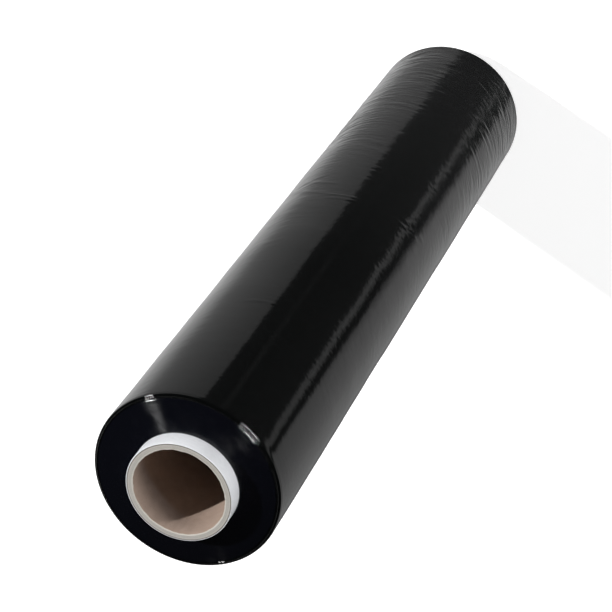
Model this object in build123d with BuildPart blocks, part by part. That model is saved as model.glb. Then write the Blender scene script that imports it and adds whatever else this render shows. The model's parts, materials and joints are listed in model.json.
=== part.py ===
"""A hand roll of black stretch film, wound on a paper core that stands out at both ends.

Millimetres, +Z up. The roll stands on the lower end of its core: the origin is the centre of
that end, and +Z runs along the axis of the roll.
"""

import os

from build123d import *

# The wound film
FILM_WIDTH = 500.0
FILM_DIAMETER = 102.0

# The last turns lie a little short of the film's end faces, and their edge is rolled over.
LAST_TURNS_DEPTH = 2.4
LAST_TURNS_SETBACK = 0.3
SHOULDER_RADIUS = 2.0

# The paper core, whose bore takes a 50 mm mandrel or a dispenser's plugs
CORE_BORE = 50.0
CORE_WALL = 3.7
CORE_PROJECTION = 10.0
CORE_EDGE_RADIUS = 0.3

# Worked out from the sizes above
film_radius = FILM_DIAMETER / 2
bore_radius = CORE_BORE / 2
core_radius = bore_radius + CORE_WALL
core_length = FILM_WIDTH + 2 * CORE_PROJECTION
main_turns_radius = film_radius - LAST_TURNS_DEPTH
last_turns_width = FILM_WIDTH - 2 * LAST_TURNS_SETBACK
last_turns_bottom = CORE_PROJECTION + LAST_TURNS_SETBACK

os.makedirs("parts", exist_ok=True)

# The core: a plain tube with its cut edges slightly broken.
with BuildPart() as core_tube:
    with BuildSketch():
        Circle(core_radius)
        Circle(bore_radius, mode=Mode.SUBTRACT)
    extrude(amount=core_length)
    fillet(core_tube.edges().filter_by(GeomType.CIRCLE), CORE_EDGE_RADIUS)
core_tube.part.label = "core_tube"
export_step(core_tube.part, "parts/core_tube.step")

# The film: every turn in one solid, tight on the core from end face to end face.
with BuildPart() as film_roll:
    with BuildSketch(Plane.XY.offset(last_turns_bottom)):
        Circle(film_radius)
        Circle(core_radius, mode=Mode.SUBTRACT)
    extrude(amount=last_turns_width)
    outer_rims = film_roll.edges().filter_by(GeomType.CIRCLE).group_by(SortBy.RADIUS)[-1]
    fillet(outer_rims, SHOULDER_RADIUS)
    with BuildSketch(Plane.XY.offset(CORE_PROJECTION)):
        Circle(main_turns_radius)
        Circle(core_radius, mode=Mode.SUBTRACT)
    extrude(amount=FILM_WIDTH)
film_roll.part.label = "film_roll"
export_step(film_roll.part, "parts/film_roll.step")
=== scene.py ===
"""The looks of a hand roll of black stretch film on a paper core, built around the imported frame.

Metres, +Z up. The roll stands on the lower end of its core, and its axis is the Z axis.
"""

import json
import math
import random

import bpy
from mathutils import Matrix, Vector


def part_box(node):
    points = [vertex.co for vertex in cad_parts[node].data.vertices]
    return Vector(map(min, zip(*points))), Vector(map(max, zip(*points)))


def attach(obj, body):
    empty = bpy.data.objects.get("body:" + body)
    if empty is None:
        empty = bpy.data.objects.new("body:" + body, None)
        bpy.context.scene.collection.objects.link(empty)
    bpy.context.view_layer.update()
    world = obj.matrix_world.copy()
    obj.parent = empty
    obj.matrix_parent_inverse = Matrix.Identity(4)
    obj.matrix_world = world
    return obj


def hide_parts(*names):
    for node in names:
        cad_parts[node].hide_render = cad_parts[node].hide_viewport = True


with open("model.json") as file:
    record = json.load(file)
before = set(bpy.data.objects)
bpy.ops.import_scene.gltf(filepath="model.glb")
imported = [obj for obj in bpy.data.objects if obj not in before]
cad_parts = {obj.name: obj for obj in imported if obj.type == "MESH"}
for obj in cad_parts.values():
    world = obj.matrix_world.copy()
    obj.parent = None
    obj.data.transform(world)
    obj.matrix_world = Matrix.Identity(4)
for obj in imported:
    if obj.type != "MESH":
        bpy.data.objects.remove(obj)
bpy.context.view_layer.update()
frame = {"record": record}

MM = 0.001

# Sizes that the frame gives
film_low, film_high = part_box("film_roll")
core_low, core_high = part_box("core_tube")
core_bore = next(m for m in frame["record"]["mounts"] if m["name"] == "core_bore")
FILM_RADIUS = film_high.x
CORE_RADIUS = core_high.x
BORE_RADIUS = core_bore["dims"]["r_mm"] * MM

# The film's side lies this far inside the frame's, so that its creases have room to stand out.
# Nothing on it stands out further than CREASE_MOST.
RIPPLE_ROOM = 0.16 * MM
CREASE_MOST = RIPPLE_ROOM - 0.05 * MM
SIDE_RADIUS = FILM_RADIUS - RIPPLE_ROOM

# The side ends this far from each end face, where the rolled-over shoulder starts.
SHOULDER_DEPTH = 3.9 * MM

# Steps round the axis. The core has more, because its cut end is seen close to.
FILM_STEPS = 132
CORE_STEPS = 180

# Rings along the film's side lie closer where it is rippled, near the lower end.
FINE_SPACING = 0.64 * MM
COARSE_SPACING = 1.15 * MM
FINE_UP_TO = 200 * MM
COARSE_FROM = 320 * MM

# The winding ridges on the film's end faces, and how far in from the side the first one lies
RIDGE_PITCH = 0.55 * MM
RIDGE_HEIGHT = 0.035 * MM
RIDGES_FROM = 2.8 * MM

# How much of the ripples' height is left, by share of the way up the film
RIPPLE_FADE = [
    (0.0, 1.0),
    (0.12, 1.0),
    (0.27, 0.74),
    (0.42, 0.36),
    (0.56, 0.15),
    (0.8, 0.11),
    (1.0, 0.09),
]

# The core's broken edges, and the paper burr on the inner ones
CORE_EDGE = 0.3 * MM
BURR_REACH = 0.35 * MM
BURR_DEPTH = 0.45 * MM


# ---------------------------------------------------------------- colours and nodes


def colour(code):
    """A linear RGBA colour from an sRGB hex code."""
    channels = [int(code[i : i + 2], 16) / 255 for i in (1, 3, 5)]
    linear = [c / 12.92 if c <= 0.04045 else ((c + 0.055) / 1.055) ** 2.4 for c in channels]
    return (*linear, 1.0)


def add_node(tree, kind, inputs=None, **settings):
    """Adds a node. Its settings are attributes, and inputs takes values or other nodes' sockets."""
    node = tree.nodes.new(kind)
    for name, value in settings.items():
        setattr(node, name, value)
    for name, value in (inputs or {}).items():
        if isinstance(value, bpy.types.NodeSocket):
            tree.links.new(value, node.inputs[name])
        else:
            node.inputs[name].default_value = value
    return node


def maths(tree, operation, *values):
    """The value of one sum on numbers and sockets."""
    return add_node(tree, "ShaderNodeMath", dict(enumerate(values)), operation=operation).outputs[0]


def set_ramp(node, stops, interpolation="LINEAR"):
    """Gives a Color Ramp node its stops, each a position and a colour."""
    ramp = node.color_ramp
    ramp.interpolation = interpolation
    while len(ramp.elements) > 1:
        ramp.elements.remove(ramp.elements[-1])
    ramp.elements[0].position, ramp.elements[0].color = stops[0]
    for position, value in stops[1:]:
        ramp.elements.new(position).color = value


def grey(value):
    """A grey of the given linear brightness."""
    return (value, value, value, 1.0)


def new_material(name):
    """An empty node material and its tree."""
    material = bpy.data.materials.new(name)
    material.use_nodes = True
    material.node_tree.nodes.clear()
    return material, material.node_tree


def finish_material(tree, shader):
    """Shows a shader as the material's surface."""
    add_node(tree, "ShaderNodeOutputMaterial", {"Surface": shader.outputs[0]})


def squeezed_noise(tree, place, across, along, **inputs):
    """Noise stretched round the roll: its features are about across wide in X and Y, and along
    long in Z, both in metres."""
    scaled = add_node(
        tree,
        "ShaderNodeVectorMath",
        {0: place, 1: (1 / across, 1 / across, 1 / along)},
        operation="MULTIPLY",
    )
    return add_node(
        tree, "ShaderNodeTexNoise", {"Vector": scaled.outputs[0], "Scale": 1.0, **inputs}
    )


# ---------------------------------------------------------------- materials


def film_material():
    """Stretched polyethylene film, blown and pigmented black. It is smooth and glossy, with faint
    bands round the roll where it was stretched more or less as it was wound."""
    material, tree = new_material("stretched black polyethylene film")
    place = add_node(tree, "ShaderNodeTexCoord").outputs["Object"]

    # The film is less taut towards the lower end, and duller there.
    parts = add_node(tree, "ShaderNodeSeparateXYZ", {0: place})
    slack = add_node(
        tree,
        "ShaderNodeMapRange",
        {"Value": parts.outputs["Z"], "From Min": 320 * MM, "From Max": 60 * MM},
    )

    # Bands about 2 mm along the roll and 60 mm round it, a little clearer or duller
    bands = squeezed_noise(tree, place, 60 * MM, 2.2 * MM, Detail=3.0)
    banding = add_node(
        tree,
        "ShaderNodeMapRange",
        {
            "Value": bands.outputs[0],
            "From Min": 0.3,
            "From Max": 0.7,
            "To Min": 0.03,
            "To Max": 0.07,
        },
    )
    roughness = add_node(
        tree,
        "ShaderNodeMath",
        {0: slack.outputs[0], 1: 0.03, 2: banding.outputs[0]},
        operation="MULTIPLY_ADD",
    )

    # Fine draw lines, up to 1.8 mm along the roll and 9 mm round it
    lines = squeezed_noise(tree, place, 9 * MM, 1.8 * MM, Detail=2.0)
    depth = add_node(
        tree,
        "ShaderNodeMath",
        {0: slack.outputs[0], 1: 0.06 * MM, 2: 0.05 * MM},
        operation="MULTIPLY_ADD",
    )
    bump = add_node(
        tree,
        "ShaderNodeBump",
        {"Height": lines.outputs[0], "Strength": 1.0, "Distance": depth.outputs[0]},
    )

    # Shallow puckers, 2 mm along the roll and 4 mm round it, deeper towards the lower end. They
    # fray the edges of what the film mirrors.
    puckers = squeezed_noise(tree, place, 4.2 * MM, 2.2 * MM, Detail=2.0)
    pucker_depth = add_node(
        tree,
        "ShaderNodeMapRange",
        {
            "Value": parts.outputs["Z"],
            "From Min": 480 * MM,
            "From Max": 120 * MM,
            "To Min": 0.04 * MM,
            "To Max": 0.13 * MM,
        },
    )
    bump = add_node(
        tree,
        "ShaderNodeBump",
        {
            "Height": puckers.outputs[0],
            "Strength": 1.0,
            "Distance": pucker_depth.outputs[0],
            "Normal": bump.outputs[0],
        },
    )

    # The slack film is also a little greyer.
    haze = add_node(
        tree,
        "ShaderNodeMix",
        {"Factor": slack.outputs[0], "A": colour("#060707"), "B": colour("#161717")},
        data_type="RGBA",
    )
    shader = add_node(
        tree,
        "ShaderNodeBsdfPrincipled",
        {
            "Base Color": haze.outputs["Result"],
            "Roughness": roughness.outputs[0],
            "IOR": 1.5,
            "Normal": bump.outputs[0],
        },
    )
    finish_material(tree, shader)
    return material


def shoulder_material():
    """The film where its last turns are rolled over the edge. It is the same gloss, but pinched
    into fine folds along the rim, so what it mirrors is broken up."""
    material, tree = new_material("rolled-over black polyethylene film")
    place = add_node(tree, "ShaderNodeTexCoord").outputs["Object"]

    # Folds about 5 mm along the rim and 0.9 mm across it
    folds = squeezed_noise(tree, place, 5 * MM, 0.9 * MM, Detail=2.0)
    bump = add_node(
        tree,
        "ShaderNodeBump",
        {"Height": folds.outputs[0], "Strength": 1.0, "Distance": 0.012 * MM},
    )
    shader = add_node(
        tree,
        "ShaderNodeBsdfPrincipled",
        {
            "Base Color": colour("#060707"),
            "Roughness": 0.025,
            "IOR": 1.5,
            "Normal": bump.outputs[0],
        },
    )
    finish_material(tree, shader)
    return material


def film_edge_material():
    """The film's slit edges, some hundreds of turns pressed side by side. They are as black as the
    film, and catch light as a turned face does, in a streak across the turns."""
    material, tree = new_material("wound film edges")
    place = add_node(tree, "ShaderNodeTexCoord").outputs["Object"]
    parts = add_node(tree, "ShaderNodeSeparateXYZ", {0: place})
    flat = add_node(
        tree, "ShaderNodeCombineXYZ", {"X": parts.outputs["X"], "Y": parts.outputs["Y"]}
    )
    radius = add_node(tree, "ShaderNodeVectorMath", {0: flat.outputs[0]}, operation="LENGTH")

    # Single turns are 0.023 mm thick, too fine to draw, so each line here stands for about ten.
    turns = add_node(
        tree,
        "ShaderNodeTexNoise",
        {"W": radius.outputs["Value"], "Scale": 1 / (0.25 * MM), "Detail": 3.0},
        noise_dimensions="1D",
    )
    bump = add_node(
        tree,
        "ShaderNodeBump",
        {"Height": turns.outputs[0], "Strength": 1.0, "Distance": 0.018 * MM},
    )

    # The pressure of the turns is uneven, so the streak comes and goes over about 8 mm.
    patches = add_node(
        tree, "ShaderNodeTexNoise", {"Vector": place, "Scale": 1 / (8 * MM), "Detail": 2.0}
    )
    roughness = add_node(
        tree,
        "ShaderNodeMapRange",
        {
            "Value": patches.outputs[0],
            "From Min": 0.38,
            "From Max": 0.62,
            "To Min": 0.11,
            "To Max": 0.19,
        },
    )

    # Each turn stands a little lower than the one inside it, so the face as a whole leans outwards.
    outward = add_node(tree, "ShaderNodeVectorMath", {0: flat.outputs[0]}, operation="NORMALIZE")
    lean = add_node(
        tree,
        "ShaderNodeVectorMath",
        {0: outward.outputs[0], "Scale": 0.27},
        operation="SCALE",
    )
    leaning = add_node(
        tree, "ShaderNodeVectorMath", {0: bump.outputs[0], 1: lean.outputs[0]}, operation="ADD"
    )
    normal = add_node(tree, "ShaderNodeVectorMath", {0: leaning.outputs[0]}, operation="NORMALIZE")
    tangent = add_node(tree, "ShaderNodeTangent", direction_type="RADIAL", axis="Z")
    shader = add_node(
        tree,
        "ShaderNodeBsdfPrincipled",
        {
            "Base Color": colour("#07080e"),
            "Roughness": roughness.outputs[0],
            "IOR": 1.5,
            "Specular IOR Level": 0.8,
            "Anisotropic": 1.0,
            "Anisotropic Rotation": 0.25,
            "Normal": normal.outputs[0],
            "Tangent": tangent.outputs[0],
        },
    )
    finish_material(tree, shader)
    return material


def white_ply_material():
    """The core's outer ply, bleached and calendered paper. It is white and slightly satin, with a
    faint grain of fibres along the strip that was wound."""
    material, tree = new_material("bleached calendered paper ply")
    place = add_node(tree, "ShaderNodeTexCoord").outputs["Object"]
    fibres = squeezed_noise(tree, place, 2.4 * MM, 0.5 * MM, Detail=3.0)
    tint = add_node(
        tree,
        "ShaderNodeMix",
        {"Factor": fibres.outputs[0], "A": colour("#d3d5d9"), "B": colour("#e8e9ec")},
        data_type="RGBA",
    )
    bump = add_node(
        tree,
        "ShaderNodeBump",
        {"Height": fibres.outputs[0], "Strength": 1.0, "Distance": 0.02 * MM},
    )
    shader = add_node(
        tree,
        "ShaderNodeBsdfPrincipled",
        {
            "Base Color": tint.outputs["Result"],
            "Roughness": 0.45,
            "IOR": 1.45,
            "Normal": bump.outputs[0],
        },
    )
    finish_material(tree, shader)
    return material


def bore_material():
    """The core's inner ply, unbleached recycled board. It is matt, warm grey-brown and flecked."""
    material, tree = new_material("recycled grey board")
    place = add_node(tree, "ShaderNodeTexCoord").outputs["Object"]
    mottle = add_node(
        tree, "ShaderNodeTexNoise", {"Vector": place, "Scale": 1 / (5 * MM), "Detail": 4.0}
    )
    flecks = add_node(
        tree, "ShaderNodeTexNoise", {"Vector": place, "Scale": 1 / (0.9 * MM), "Detail": 2.0}
    )
    base = add_node(
        tree,
        "ShaderNodeMix",
        {"Factor": mottle.outputs[0], "A": colour("#9b877a"), "B": colour("#af9b8d")},
        data_type="RGBA",
    )
    fleck_share = add_node(
        tree,
        "ShaderNodeMapRange",
        {"Value": flecks.outputs[0], "From Min": 0.60, "From Max": 0.75, "To Max": 0.35},
    )
    tint = add_node(
        tree,
        "ShaderNodeMix",
        {"Factor": fleck_share.outputs[0], "A": base.outputs["Result"], "B": colour("#7c6a5c")},
        data_type="RGBA",
    )
    bump = add_node(
        tree,
        "ShaderNodeBump",
        {"Height": flecks.outputs[0], "Strength": 1.0, "Distance": 0.03 * MM},
    )
    shader = add_node(
        tree,
        "ShaderNodeBsdfPrincipled",
        {
            "Base Color": tint.outputs["Result"],
            "Roughness": 0.85,
            "IOR": 1.45,
            "Normal": bump.outputs[0],
        },
    )
    finish_material(tree, shader)
    return material


def cut_board_material():
    """The core's sawn ends: pale board, a little lighter at the bore, with the edge of the white
    ply outside, a dark glue line under it, and fainter glue lines between the other plies."""
    material, tree = new_material("sawn spiral-wound board")
    place = add_node(tree, "ShaderNodeTexCoord").outputs["Object"]
    parts = add_node(tree, "ShaderNodeSeparateXYZ", {0: place})
    flat = add_node(
        tree, "ShaderNodeCombineXYZ", {"X": parts.outputs["X"], "Y": parts.outputs["Y"]}
    )
    radius = add_node(tree, "ShaderNodeVectorMath", {0: flat.outputs[0]}, operation="LENGTH")
    depth = add_node(
        tree,
        "ShaderNodeMapRange",
        {"Value": radius.outputs["Value"], "From Min": BORE_RADIUS, "From Max": CORE_RADIUS},
    )
    plies = add_node(tree, "ShaderNodeValToRGB", {0: depth.outputs[0]})
    board, line, glue, white = (colour(c) for c in ("#b4b0a9", "#9c968d", "#6d6a68", "#f1f2f3"))
    set_ramp(
        plies,
        [
            (0.00, colour("#cbc7be")),
            (0.12, colour("#c6c2ba")),
            (0.20, board),
            (0.23, line),
            (0.26, board),
            (0.44, board),
            (0.47, line),
            (0.50, colour("#bbb7b0")),
            (0.70, board),
            (0.73, line),
            (0.80, glue),
            (0.86, glue),
            (0.89, white),
            (1.00, white),
        ],
    )
    fuzz = add_node(
        tree, "ShaderNodeTexNoise", {"Vector": place, "Scale": 1 / (0.6 * MM), "Detail": 3.0}
    )
    tint = add_node(
        tree,
        "ShaderNodeMix",
        {"Factor": 0.25, "A": plies.outputs[0], "B": fuzz.outputs[0]},
        data_type="RGBA",
        blend_type="SOFT_LIGHT",
    )
    bump = add_node(
        tree,
        "ShaderNodeBump",
        {"Height": fuzz.outputs[0], "Strength": 1.0, "Distance": 0.06 * MM},
    )
    shader = add_node(
        tree,
        "ShaderNodeBsdfPrincipled",
        {
            "Base Color": tint.outputs["Result"],
            "Roughness": 0.8,
            "IOR": 1.45,
            "Normal": bump.outputs[0],
        },
    )
    finish_material(tree, shader)
    return material


# ---------------------------------------------------------------- shapes


def arc(centre, radius, start, end, steps):
    """Points (r, z) on an arc about centre, from start to end degrees, both ends included."""
    angles = [math.radians(start + (end - start) * i / steps) for i in range(steps + 1)]
    return [(centre[0] + radius * math.cos(a), centre[1] + radius * math.sin(a)) for a in angles]


def smooth(value, low, high):
    """0 at low, 1 at high, and smooth between."""
    t = min(1.0, max(0.0, (value - low) / (high - low)))
    return t * t * (3 - 2 * t)


def turned_mesh(name, section, steps, materials):
    """Turns a closed section about the Z axis. The section is a list of (r, z, material index),
    and a point's index is that of the faces between it and the next point."""
    count = len(section)
    points = []
    for i in range(steps):
        a = 2 * math.pi * i / steps
        points += [(r * math.cos(a), r * math.sin(a), z) for r, z, _ in section]
    faces = []
    indices = []
    for i in range(steps):
        here, there = i * count, (i + 1) % steps * count
        for j in range(count):
            k = (j + 1) % count
            faces.append((here + j, there + j, there + k, here + k))
            indices.append(section[j][2])
    mesh = bpy.data.meshes.new(name)
    mesh.from_pydata(points, [], faces)
    for material in materials:
        mesh.materials.append(material)
    mesh.polygons.foreach_set("material_index", indices)
    mesh.polygons.foreach_set("use_smooth", [True] * len(faces))
    mesh.update()
    return mesh


def place_object(name, mesh):
    """An object in the scene, at the origin."""
    piece = bpy.data.objects.new(name, mesh)
    bpy.context.scene.collection.objects.link(piece)
    return piece


def film_end(z_face, up):
    """The section of one end of the film, from its side in to the core, as (r, z, material).
    The side bends in to two beads, where the last turns are rolled over, and inside them lie the
    winding ridges. up is 1 for the upper end and -1 for the lower one."""

    def bead(inward, below, radius, start, end, steps):
        """An arc on the shoulder. Its centre lies inward from the frame's side and below the end
        face, in mm."""
        centre = (FILM_RADIUS - inward * MM, 0.0)
        points = arc(centre, radius * MM, start, end, steps)
        return [(r, z_face + up * (z - below * MM), 2) for r, z in points]

    # The shallow arc in which the side bends in, then the outer bead and the inner one
    bend = 6.0
    room = RIPPLE_ROOM / MM
    points = bead(inward=room + bend, below=3.2, radius=bend, start=0, end=12, steps=4)
    points += bead(inward=1.22, below=1.75, radius=0.97, start=14, end=110, steps=10)
    points += bead(inward=2.05, below=0.62, radius=0.48, start=-12, end=165, steps=12)

    # The foot of the inner bead, and then ridges of uneven height
    points.append((FILM_RADIUS - 2.66 * MM, z_face - up * 0.5 * MM, 1))
    ridges = random.Random(7)
    first = FILM_RADIUS - RIDGES_FROM
    count = round((first - CORE_RADIUS) / RIDGE_PITCH)
    for i in range(count):
        r = first + (CORE_RADIUS - first) * i / count
        broad = 0.5 + 0.5 * math.sin(i * 0.55 + 1.0)
        points.append((r, z_face - up * RIDGE_HEIGHT * (ridges.random() + 1.4 * broad), 1))
    points.append((CORE_RADIUS, z_face - up * RIDGE_HEIGHT, 1))
    return points


def side_heights():
    """Heights of the rings along the film's side, from its lower shoulder to its upper one."""
    low, high = film_low.z + SHOULDER_DEPTH, film_high.z - SHOULDER_DEPTH
    heights = [low]
    while heights[-1] < high - COARSE_SPACING:
        share = smooth(heights[-1], FINE_UP_TO, COARSE_FROM)
        heights.append(heights[-1] + FINE_SPACING + (COARSE_SPACING - FINE_SPACING) * share)
    heights.append(high)
    return heights


def film_section():
    """The film's whole section, closed: up the side, in over the top, down the core, out below."""
    side = [(SIDE_RADIUS, z, 0) for z in side_heights()]
    return side + film_end(film_high.z, 1) + film_end(film_low.z, -1)[::-1]


# Creases that stand out singly: each is a line of (azimuth in degrees, height in mm).
CREASES = [
    [(348, 241), (333, 253), (318, 261), (305, 265), (284, 263)],
    [(304, 270), (294, 268), (282, 266)],
    [(336, 237), (322, 245), (309, 249)],
    [(349, 97), (334, 102), (320, 105)],
    [(306, 406), (297, 404), (288, 404)],
    [(262, 258), (250, 256), (236, 250)],
    [(258, 252), (246, 249), (232, 243)],
    [(120, 330), (100, 341), (72, 344)],
    [(60, 152), (38, 160), (20, 158)],
]


def crease_lines():
    """The creases as loose edges that lie on the film's side."""
    points = []
    edges = []
    for line in CREASES:
        for (a0, z0), (a1, z1) in zip(line, line[1:]):
            steps = max(1, round(abs(a1 - a0) / 3))
            for i in range(steps + 1):
                a = math.radians(a0 + (a1 - a0) * i / steps)
                z = (z0 + (z1 - z0) * i / steps) * MM
                points.append((SIDE_RADIUS * math.cos(a), SIDE_RADIUS * math.sin(a), z))
                if i:
                    edges.append((len(points) - 2, len(points) - 1))
    mesh = bpy.data.meshes.new("crease lines")
    mesh.from_pydata(points, edges, [])
    return place_object("crease lines", mesh)


def ripple_tree(finish):
    """Stretch film wound under tension: it gathers into fine ripples round the roll, which die out
    towards the upper end, over slow swells and a few single creases. finish is its material."""
    tree = bpy.data.node_groups.new("wound film ripples", "GeometryNodeTree")
    for name, kind in (
        ("Geometry", "NodeSocketGeometry"),
        ("Creases", "NodeSocketObject"),
        ("Side radius", "NodeSocketFloat"),
        ("Low end", "NodeSocketFloat"),
        ("High end", "NodeSocketFloat"),
        ("Ripple pitch", "NodeSocketFloat"),
        ("Ripple height", "NodeSocketFloat"),
        ("Swell height", "NodeSocketFloat"),
        ("Crease height", "NodeSocketFloat"),
        ("Crease width", "NodeSocketFloat"),
        ("Most", "NodeSocketFloat"),
    ):
        tree.interface.new_socket(name=name, in_out="INPUT", socket_type=kind)
    tree.interface.new_socket(name="Geometry", in_out="OUTPUT", socket_type="NodeSocketGeometry")
    given = add_node(tree, "NodeGroupInput").outputs

    place = add_node(tree, "GeometryNodeInputPosition").outputs[0]
    parts = add_node(tree, "ShaderNodeSeparateXYZ", {0: place}).outputs
    outward = add_node(
        tree,
        "ShaderNodeVectorMath",
        {0: place, 1: (1.0, 1.0, 0.0)},
        operation="MULTIPLY",
    ).outputs[0]
    radius = add_node(tree, "ShaderNodeVectorMath", {0: outward}, operation="LENGTH").outputs["Value"]
    outward = add_node(tree, "ShaderNodeVectorMath", {0: outward}, operation="NORMALIZE").outputs[0]

    def noise(across, along, detail, shift=0.0):
        """Noise whose features are across wide round the roll and along high, in metres. Its lines
        wander a little, and climb towards one side."""
        wander = 30 * MM
        slope = 0.10
        drift = add_node(
            tree,
            "ShaderNodeTexNoise",
            {"Vector": place, "Scale": 1 / (70 * MM), "Detail": 1.0},
        ).outputs[0]
        height = maths(tree, "MULTIPLY_ADD", drift, wander, parts["Z"])
        height = maths(tree, "MULTIPLY_ADD", parts["X"], slope, height)
        height = maths(tree, "ADD", maths(tree, "DIVIDE", height, along), shift)
        x = maths(tree, "DIVIDE", parts["X"], across)
        y = maths(tree, "DIVIDE", parts["Y"], across)
        vector = add_node(tree, "ShaderNodeCombineXYZ", {0: x, 1: y, 2: height}).outputs[0]
        return add_node(
            tree, "ShaderNodeTexNoise", {"Vector": vector, "Scale": 1.0, "Detail": detail}
        ).outputs[0]

    # Sharp ripples follow the lines where the noise passes its middle value.
    pitch = given["Ripple pitch"]
    spread = maths(tree, "ABSOLUTE", maths(tree, "SUBTRACT", noise(32 * MM, pitch, 1.0), 0.5))
    sharp = add_node(
        tree,
        "ShaderNodeMapRange",
        {"Value": spread, "From Min": 0.09, "From Max": 0.0},
        interpolation_type="SMOOTHSTEP",
    ).outputs[0]
    half_pitch = maths(tree, "MULTIPLY", pitch, 0.45)
    soft = maths(tree, "SUBTRACT", noise(19 * MM, half_pitch, 2.0, 11.0), 0.5)
    ripples = maths(tree, "MULTIPLY_ADD", soft, 1.6, maths(tree, "MULTIPLY_ADD", sharp, 0.8, -0.7))

    # They come in patches. They are strongest low down, and reach higher on the +X side.
    patches = add_node(
        tree,
        "ShaderNodeMapRange",
        {
            "Value": noise(55 * MM, 45 * MM, 1.0, 5.0),
            "From Min": 0.36,
            "From Max": 0.58,
            "To Min": 0.35,
        },
        interpolation_type="SMOOTHSTEP",
    ).outputs[0]
    tilt = -1.8
    reach = maths(tree, "MULTIPLY_ADD", parts["X"], tilt, parts["Z"])
    reach = maths(tree, "DIVIDE", reach, given["High end"])
    fade = add_node(tree, "ShaderNodeFloatCurve", {"Value": reach})
    curve = fade.mapping.curves[0]
    curve.points[0].location = RIPPLE_FADE[0]
    curve.points[1].location = RIPPLE_FADE[-1]
    for share, left in RIPPLE_FADE[1:-1]:
        curve.points.new(share, left)
    ripples = maths(tree, "MULTIPLY", ripples, maths(tree, "MULTIPLY", patches, fade.outputs[0]))
    ripples = maths(tree, "MULTIPLY", ripples, given["Ripple height"])

    swell = maths(tree, "SUBTRACT", noise(90 * MM, 38 * MM, 0.0, 3.0), 0.5)
    swell = maths(tree, "MULTIPLY", swell, given["Swell height"])

    lines = add_node(tree, "GeometryNodeObjectInfo", {"Object": given["Creases"]}).outputs["Geometry"]
    near = add_node(tree, "GeometryNodeProximity", {0: lines}, target_element="EDGES")
    crease = add_node(
        tree,
        "ShaderNodeMapRange",
        {"Value": near.outputs["Distance"], "From Min": given["Crease width"], "From Max": 0.0},
        interpolation_type="SMOOTHSTEP",
    ).outputs[0]
    crease = maths(tree, "MULTIPLY", crease, given["Crease height"])

    height = maths(tree, "ADD", maths(tree, "ADD", ripples, swell), crease)
    height = maths(tree, "MINIMUM", height, given["Most"])

    # Only the side moves, and it comes to rest before each shoulder.
    def rising(value, low, high):
        """0 at low, 1 at high, and smooth between."""
        return add_node(
            tree,
            "ShaderNodeMapRange",
            {"Value": value, "From Min": low, "From Max": high},
            interpolation_type="SMOOTHSTEP",
        ).outputs[0]

    from_low = maths(tree, "SUBTRACT", parts["Z"], given["Low end"])
    from_high = maths(tree, "SUBTRACT", given["High end"], parts["Z"])
    from_low = rising(from_low, 2.5 * MM, 6 * MM)
    from_high = rising(from_high, 3 * MM, 9 * MM)
    free = maths(tree, "MULTIPLY", from_low, from_high)
    outer = maths(tree, "GREATER_THAN", radius, maths(tree, "MULTIPLY", given["Side radius"], 0.98))
    height = maths(tree, "MULTIPLY", height, maths(tree, "MULTIPLY", free, outer))
    offset = add_node(
        tree, "ShaderNodeVectorMath", {0: outward, "Scale": height}, operation="SCALE"
    ).outputs[0]
    moved = add_node(tree, "GeometryNodeSetPosition", {"Geometry": given["Geometry"], "Offset": offset})
    real = add_node(tree, "GeometryNodeRealizeInstances", {0: moved.outputs[0]})
    slot = add_node(tree, "GeometryNodeInputMaterialIndex").outputs[0]
    side = add_node(
        tree,
        "FunctionNodeCompare",
        {2: slot, 3: 0},
        data_type="INT",
        operation="EQUAL",
    ).outputs[0]
    finished = add_node(
        tree,
        "GeometryNodeSetMaterial",
        {"Geometry": real.outputs[0], "Selection": side, "Material": finish},
    )
    add_node(tree, "NodeGroupOutput", {0: finished.outputs[0]})
    return tree


def bake_nodes(piece, tree, values):
    """Runs a geometry tree on a piece with the given inputs, and keeps the result as its mesh."""
    modifier = piece.modifiers.new(tree.name, "NODES")
    modifier.node_group = tree
    items = tree.interface.items_tree
    sockets = {item.name: item.identifier for item in items if item.in_out == "INPUT"}
    for name, value in values.items():
        modifier[sockets[name]] = value
    graph = bpy.context.evaluated_depsgraph_get()
    result = bpy.data.meshes.new_from_object(piece.evaluated_get(graph))
    piece.modifiers.remove(modifier)
    piece.data = result


film_materials = [film_material(), film_edge_material(), shoulder_material()]
film_mesh = turned_mesh("film_roll_wound", film_section(), FILM_STEPS, film_materials)
film = place_object("film_roll_wound", film_mesh)
crease_object = crease_lines()
bake_nodes(
    film,
    ripple_tree(film_materials[0]),
    {
        "Creases": crease_object,
        "Side radius": SIDE_RADIUS,
        "Low end": film_low.z,
        "High end": film_high.z,
        "Ripple pitch": 6.5 * MM,
        "Ripple height": 0.30 * MM,
        "Swell height": 0.6 * MM,
        "Crease height": 0.27 * MM,
        "Crease width": 1.6 * MM,
        "Most": CREASE_MOST,
    },
)
bpy.data.objects.remove(crease_object)


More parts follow.
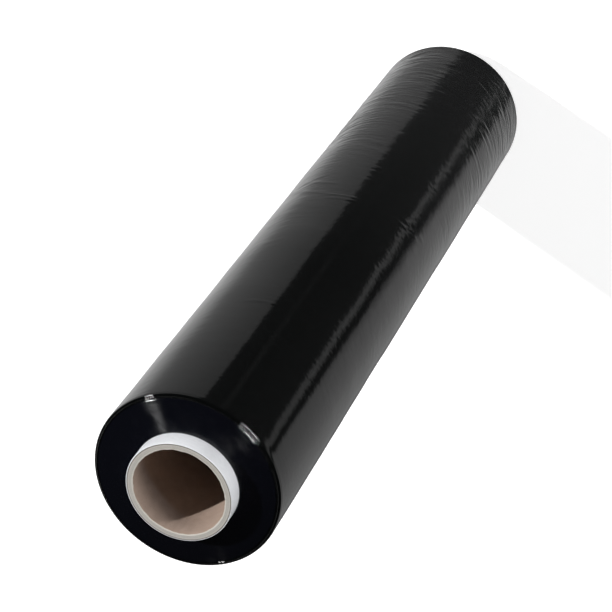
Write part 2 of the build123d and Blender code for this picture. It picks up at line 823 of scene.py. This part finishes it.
def core_section():
    """The core's whole section, closed: up the outside, in over the top, down the bore, out
    below. Its materials are the white ply, the sawn ends and the bore."""
    z0, z1 = core_low.z, core_high.z
    height = z1 - z0 - 2 * CORE_EDGE
    wall = CORE_RADIUS - BORE_RADIUS - 2 * CORE_EDGE
    outer_rings = 20
    inner_rings = 40
    end_rings = 16
    outer_r = CORE_RADIUS - CORE_EDGE
    inner_r = BORE_RADIUS + CORE_EDGE

    def edge(r, z, start, material):
        """The points between the ends of a quarter round about (r, z), from start degrees."""
        return [(*point, material) for point in arc((r, z), CORE_EDGE, start, start + 90, 4)[1:-1]]

    points = []
    for i in range(outer_rings + 1):
        points.append((CORE_RADIUS, z0 + CORE_EDGE + height * i / outer_rings, 0))
    points += edge(outer_r, z1 - CORE_EDGE, 0, 0)
    for i in range(end_rings + 1):
        points.append((outer_r - wall * i / end_rings, z1, 1))
    points += edge(inner_r, z1 - CORE_EDGE, 90, 1)
    for i in range(inner_rings + 1):
        points.append((BORE_RADIUS, z1 - CORE_EDGE - height * i / inner_rings, 2))
    points += edge(inner_r, z0 + CORE_EDGE, 180, 1)
    for i in range(end_rings + 1):
        points.append((inner_r + wall * i / end_rings, z0, 1))
    points += edge(outer_r, z0 + CORE_EDGE, 270, 0)
    return points


def fray(mesh):
    """Roughens the inner edges of the core's sawn ends, where the saw leaves a burr of paper."""
    burr = random.Random(11)
    raw = [burr.random() ** 2 for _ in range(CORE_STEPS)]
    depths = []
    for i in range(CORE_STEPS):
        depths.append((raw[i - 1] + 2 * raw[i] + raw[(i + 1) % CORE_STEPS]) / 4)
    for point in mesh.vertices:
        x, y, z = point.co
        r = math.hypot(x, y)
        from_end = min(z - core_low.z, core_high.z - z)
        if from_end < BURR_REACH and r < BORE_RADIUS + BURR_REACH:
            step = round(math.atan2(y, x) / (2 * math.pi) * CORE_STEPS) % CORE_STEPS
            scale = 1 - BURR_DEPTH * depths[step] / r
            point.co = (x * scale, y * scale, z)


core_materials = [white_ply_material(), cut_board_material(), bore_material()]
core_mesh = turned_mesh("core_tube_board", core_section(), CORE_STEPS, core_materials)
fray(core_mesh)
core = place_object("core_tube_board", core_mesh)

for piece, node, slot in ((film, "film_roll", "black_film"), (core, "core_tube", "core_board")):
    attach(piece, "root")
    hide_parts(node)


# ---------------------------------------------------------------- studio


def direction(azimuth, elevation):
    """The unit vector at an azimuth from +X and an elevation, both in degrees."""
    a, e = math.radians(azimuth), math.radians(elevation)
    return Vector((math.cos(a) * math.cos(e), math.sin(a) * math.cos(e), math.sin(e)))


def make_floor():
    """A pale floor that shows white and keeps the roll's soft shadow. From below it is clear."""
    half = 12.0
    corners = [(-half, -half, 0), (half, -half, 0), (half, half, 0), (-half, half, 0)]
    mesh = bpy.data.meshes.new("floor")
    mesh.from_pydata(corners, [], [(0, 1, 2, 3)])
    floor = place_object("floor", mesh)
    material, tree = new_material("pale studio floor")
    rays = add_node(tree, "ShaderNodeLightPath")
    facing = add_node(tree, "ShaderNodeNewGeometry")
    matt = add_node(tree, "ShaderNodeBsdfDiffuse", {"Color": grey(0.8)})
    lift = maths(tree, "MULTIPLY", rays.outputs["Is Camera Ray"], 0.7)
    glow = add_node(tree, "ShaderNodeEmission", {"Color": grey(1.0), "Strength": lift})
    pale = add_node(tree, "ShaderNodeAddShader", {0: matt.outputs[0], 1: glow.outputs[0]})
    clear = add_node(tree, "ShaderNodeBsdfTransparent")
    one_sided = add_node(
        tree,
        "ShaderNodeMixShader",
        {0: facing.outputs["Backfacing"], 1: pale.outputs[0], 2: clear.outputs[0]},
    )
    finish_material(tree, one_sided)
    mesh.materials.append(material)
    floor.visible_glossy = False


# What the gloss of the film shows of the studio, by azimuth in degrees from +X: its brightness
# down to NEAR_DOWN, and its brightness below FAR_DOWN. A narrow pale strip stands at -146 to -140,
# between a dark gap and the dark middle of the room, with wide pale walls on both sides of those.
STUDIO = [
    (-180, 0.41, 0.50),
    (-169, 0.41, 0.50),
    (-163, 0.41, 0.20),
    (-158, 0.40, 0.035),
    (-154, 0.035, 0.03),
    (-148.5, 0.035, 0.03),
    (-146.5, 0.34, 0.34),
    (-140, 0.30, 0.30),
    (-138, 0.045, 0.045),
    (-122, 0.042, 0.042),
    (-80, 0.036, 0.036),
    (-78, 0.068, 0.036),
    (-74, 0.068, 0.036),
    (-71, 0.032, 0.036),
    (-54, 0.04, 0.05),
    (-51, 0.05, 0.06),
    (-49, 0.28, 0.14),
    (-45, 0.29, 0.28),
    (-20, 0.35, 0.33),
    (10, 0.37, 0.37),
    (20, 0.41, 0.43),
    (30, 0.58, 0.58),
    (40, 0.70, 0.68),
    (60, 0.72, 0.72),
    (80, 0.56, 0.58),
    (92, 0.05, 0.09),
    (102, 0.05, 0.09),
    (110, 0.18, 0.27),
    (120, 0.29, 0.44),
    (140, 0.36, 0.52),
    (150, 0.41, 0.52),
    (180, 0.42, 0.50),
]

# The upward parts of the directions between which the first brightness gives way to the second
NEAR_DOWN = -0.82
FAR_DOWN = -0.885

# The narrow strip swings round by this many degrees between these two upward parts. The swing
# grows from nothing to its full size from the first to the second azimuth of each pair below.
SWING = 7.5
SWING_FROM = -0.79
SWING_TO = -0.887
SWING_START = (-154, -148)
SWING_END = (-60, -110)

# Between the first pair of upward parts the studio grows brighter by HORIZON_GAIN, and between the
# second pair it darkens to the grey of its upper half.
HORIZON = (-0.62, -0.45)
HORIZON_GAIN = 2.6
DUSK = (-0.3, 0.0)
UPPER_GREY = 0.012

# The even light that everything but gloss gets from the world
ROOM_GREY = 0.11


def make_world():
    """The world: white to the camera, an even grey light, and the studio's pattern for gloss."""
    world = bpy.data.worlds.new("studio")
    world.use_nodes = True
    tree = world.node_tree
    tree.nodes.clear()
    way = add_node(tree, "ShaderNodeTexCoord").outputs["Generated"]
    parts = add_node(tree, "ShaderNodeSeparateXYZ", {0: way}).outputs
    azimuth = maths(tree, "ARCTAN2", parts["Y"], parts["X"])

    def mapped(value, ends, top, **settings):
        """A value from 0 at the first of two ends to top at the second, and held beyond them."""
        inputs = {"Value": value, "From Min": ends[0], "From Max": ends[1], "To Max": top}
        return add_node(tree, "ShaderNodeMapRange", inputs, **settings).outputs[0]

    def across(ends):
        """0 at the first of two azimuths in degrees, 1 at the second."""
        return mapped(azimuth, [math.radians(end) for end in ends], 1.0)

    def ramp(share, values):
        """A grey by azimuth, from pairs of an azimuth in degrees and a brightness."""
        node = add_node(tree, "ShaderNodeValToRGB", {0: share})
        set_ramp(node, [((degrees + 180) / 360, grey(value)) for degrees, value in values])
        return node.outputs[0]

    def background(colour_or_socket):
        """A background of one colour or of another node's colour."""
        inputs = {"Color": colour_or_socket, "Strength": 1.0}
        return add_node(tree, "ShaderNodeBackground", inputs).outputs[0]

    def chosen(ray, others, seen):
        """One background for a kind of ray, and another for the rest."""
        return add_node(tree, "ShaderNodeMixShader", {0: ray, 1: others, 2: seen}).outputs[0]

    swing = mapped(parts["Z"], (SWING_FROM, SWING_TO), math.radians(-SWING))
    between = maths(tree, "MULTIPLY", across(SWING_START), across(SWING_END))
    swing = maths(tree, "MULTIPLY", swing, between)
    swung = maths(tree, "ADD", azimuth, swing)
    share = add_node(
        tree, "ShaderNodeMapRange", {"Value": swung, "From Min": -math.pi, "From Max": math.pi}
    ).outputs[0]
    near = ramp(share, [(degrees, value) for degrees, value, _ in STUDIO])
    far = ramp(share, [(degrees, value) for degrees, _, value in STUDIO])
    down = mapped(parts["Z"], (NEAR_DOWN, FAR_DOWN), 1.0)
    around = add_node(
        tree, "ShaderNodeMix", {"Factor": down, "A": near, "B": far}, data_type="RGBA"
    ).outputs["Result"]
    gain = maths(tree, "ADD", mapped(parts["Z"], HORIZON, HORIZON_GAIN - 1), 1.0)
    lifted = add_node(
        tree, "ShaderNodeVectorMath", {0: around, "Scale": gain}, operation="SCALE"
    ).outputs[0]
    above = mapped(parts["Z"], DUSK, 1.0, interpolation_type="SMOOTHSTEP")
    mirrored = add_node(
        tree,
        "ShaderNodeMix",
        {"Factor": above, "A": lifted, "B": grey(UPPER_GREY)},
        data_type="RGBA",
    ).outputs["Result"]

    rays = add_node(tree, "ShaderNodeLightPath").outputs
    lit = chosen(rays["Is Glossy Ray"], background(grey(ROOM_GREY)), background(mirrored))
    shown = chosen(rays["Is Camera Ray"], lit, background(grey(1.0)))
    add_node(tree, "ShaderNodeOutputWorld", {"Surface": shown})
    bpy.context.scene.world = world


def make_lamp(name, azimuth, elevation, distance, size, power):
    """An oval lamp that faces the top of the film from a direction in degrees and a distance. Its
    size is its width and height, and its power is in watts."""
    lamp = bpy.data.lights.new(name, "AREA")
    lamp.shape = "ELLIPSE"
    lamp.size, lamp.size_y = size
    lamp.energy = power
    holder = bpy.data.objects.new(name, lamp)
    way = direction(azimuth, elevation)
    holder.location = Vector((0, 0, film_high.z)) + way * distance
    holder.rotation_mode = "QUATERNION"
    holder.rotation_quaternion = way.to_track_quat("Z", "Y")
    bpy.context.scene.collection.objects.link(holder)
    return holder


def make_camera():
    """The camera looks down on the roll, tipped about its own axis so that the roll lies across
    the view with its upper end nearest."""
    elevation = 56.5
    distance = 1.2128
    roll = -144.5
    aim = Vector((2.3 * MM, 0, 314.8 * MM))
    camera = bpy.data.cameras.new("camera")
    camera.sensor_width = 36
    camera.lens = 122.3
    holder = bpy.data.objects.new("camera", camera)
    holder.matrix_world = (
        Matrix.Translation(aim + direction(-90, elevation) * distance)
        @ Matrix.Rotation(math.radians(90 - elevation), 4, "X")
        @ Matrix.Rotation(math.radians(roll), 4, "Z")
    )
    bpy.context.scene.collection.objects.link(holder)
    bpy.context.scene.camera = holder


make_floor()
make_world()

# The key and the fill light the roll, and the gloss doesn't show them. The glint and the strip
# show only in the gloss, as streaks on the end face and glints on its rim.
key = make_lamp("key", azimuth=0.8, elevation=36, distance=3.0, size=(0.10, 0.10), power=106)
glint = make_lamp("glint", azimuth=0.8, elevation=36, distance=3.0, size=(0.40, 0.30), power=60)
fill = make_lamp("fill", azimuth=-120, elevation=7, distance=2.6, size=(1.2, 1.2), power=50)
strip = make_lamp("strip", azimuth=-113, elevation=22, distance=2.6, size=(1.1, 0.14), power=100)
for lamp in (key, fill):
    lamp.visible_glossy = False
for lamp in (glint, strip):
    lamp.visible_diffuse = False
make_camera()
bpy.context.scene.view_settings.view_transform = "Standard"
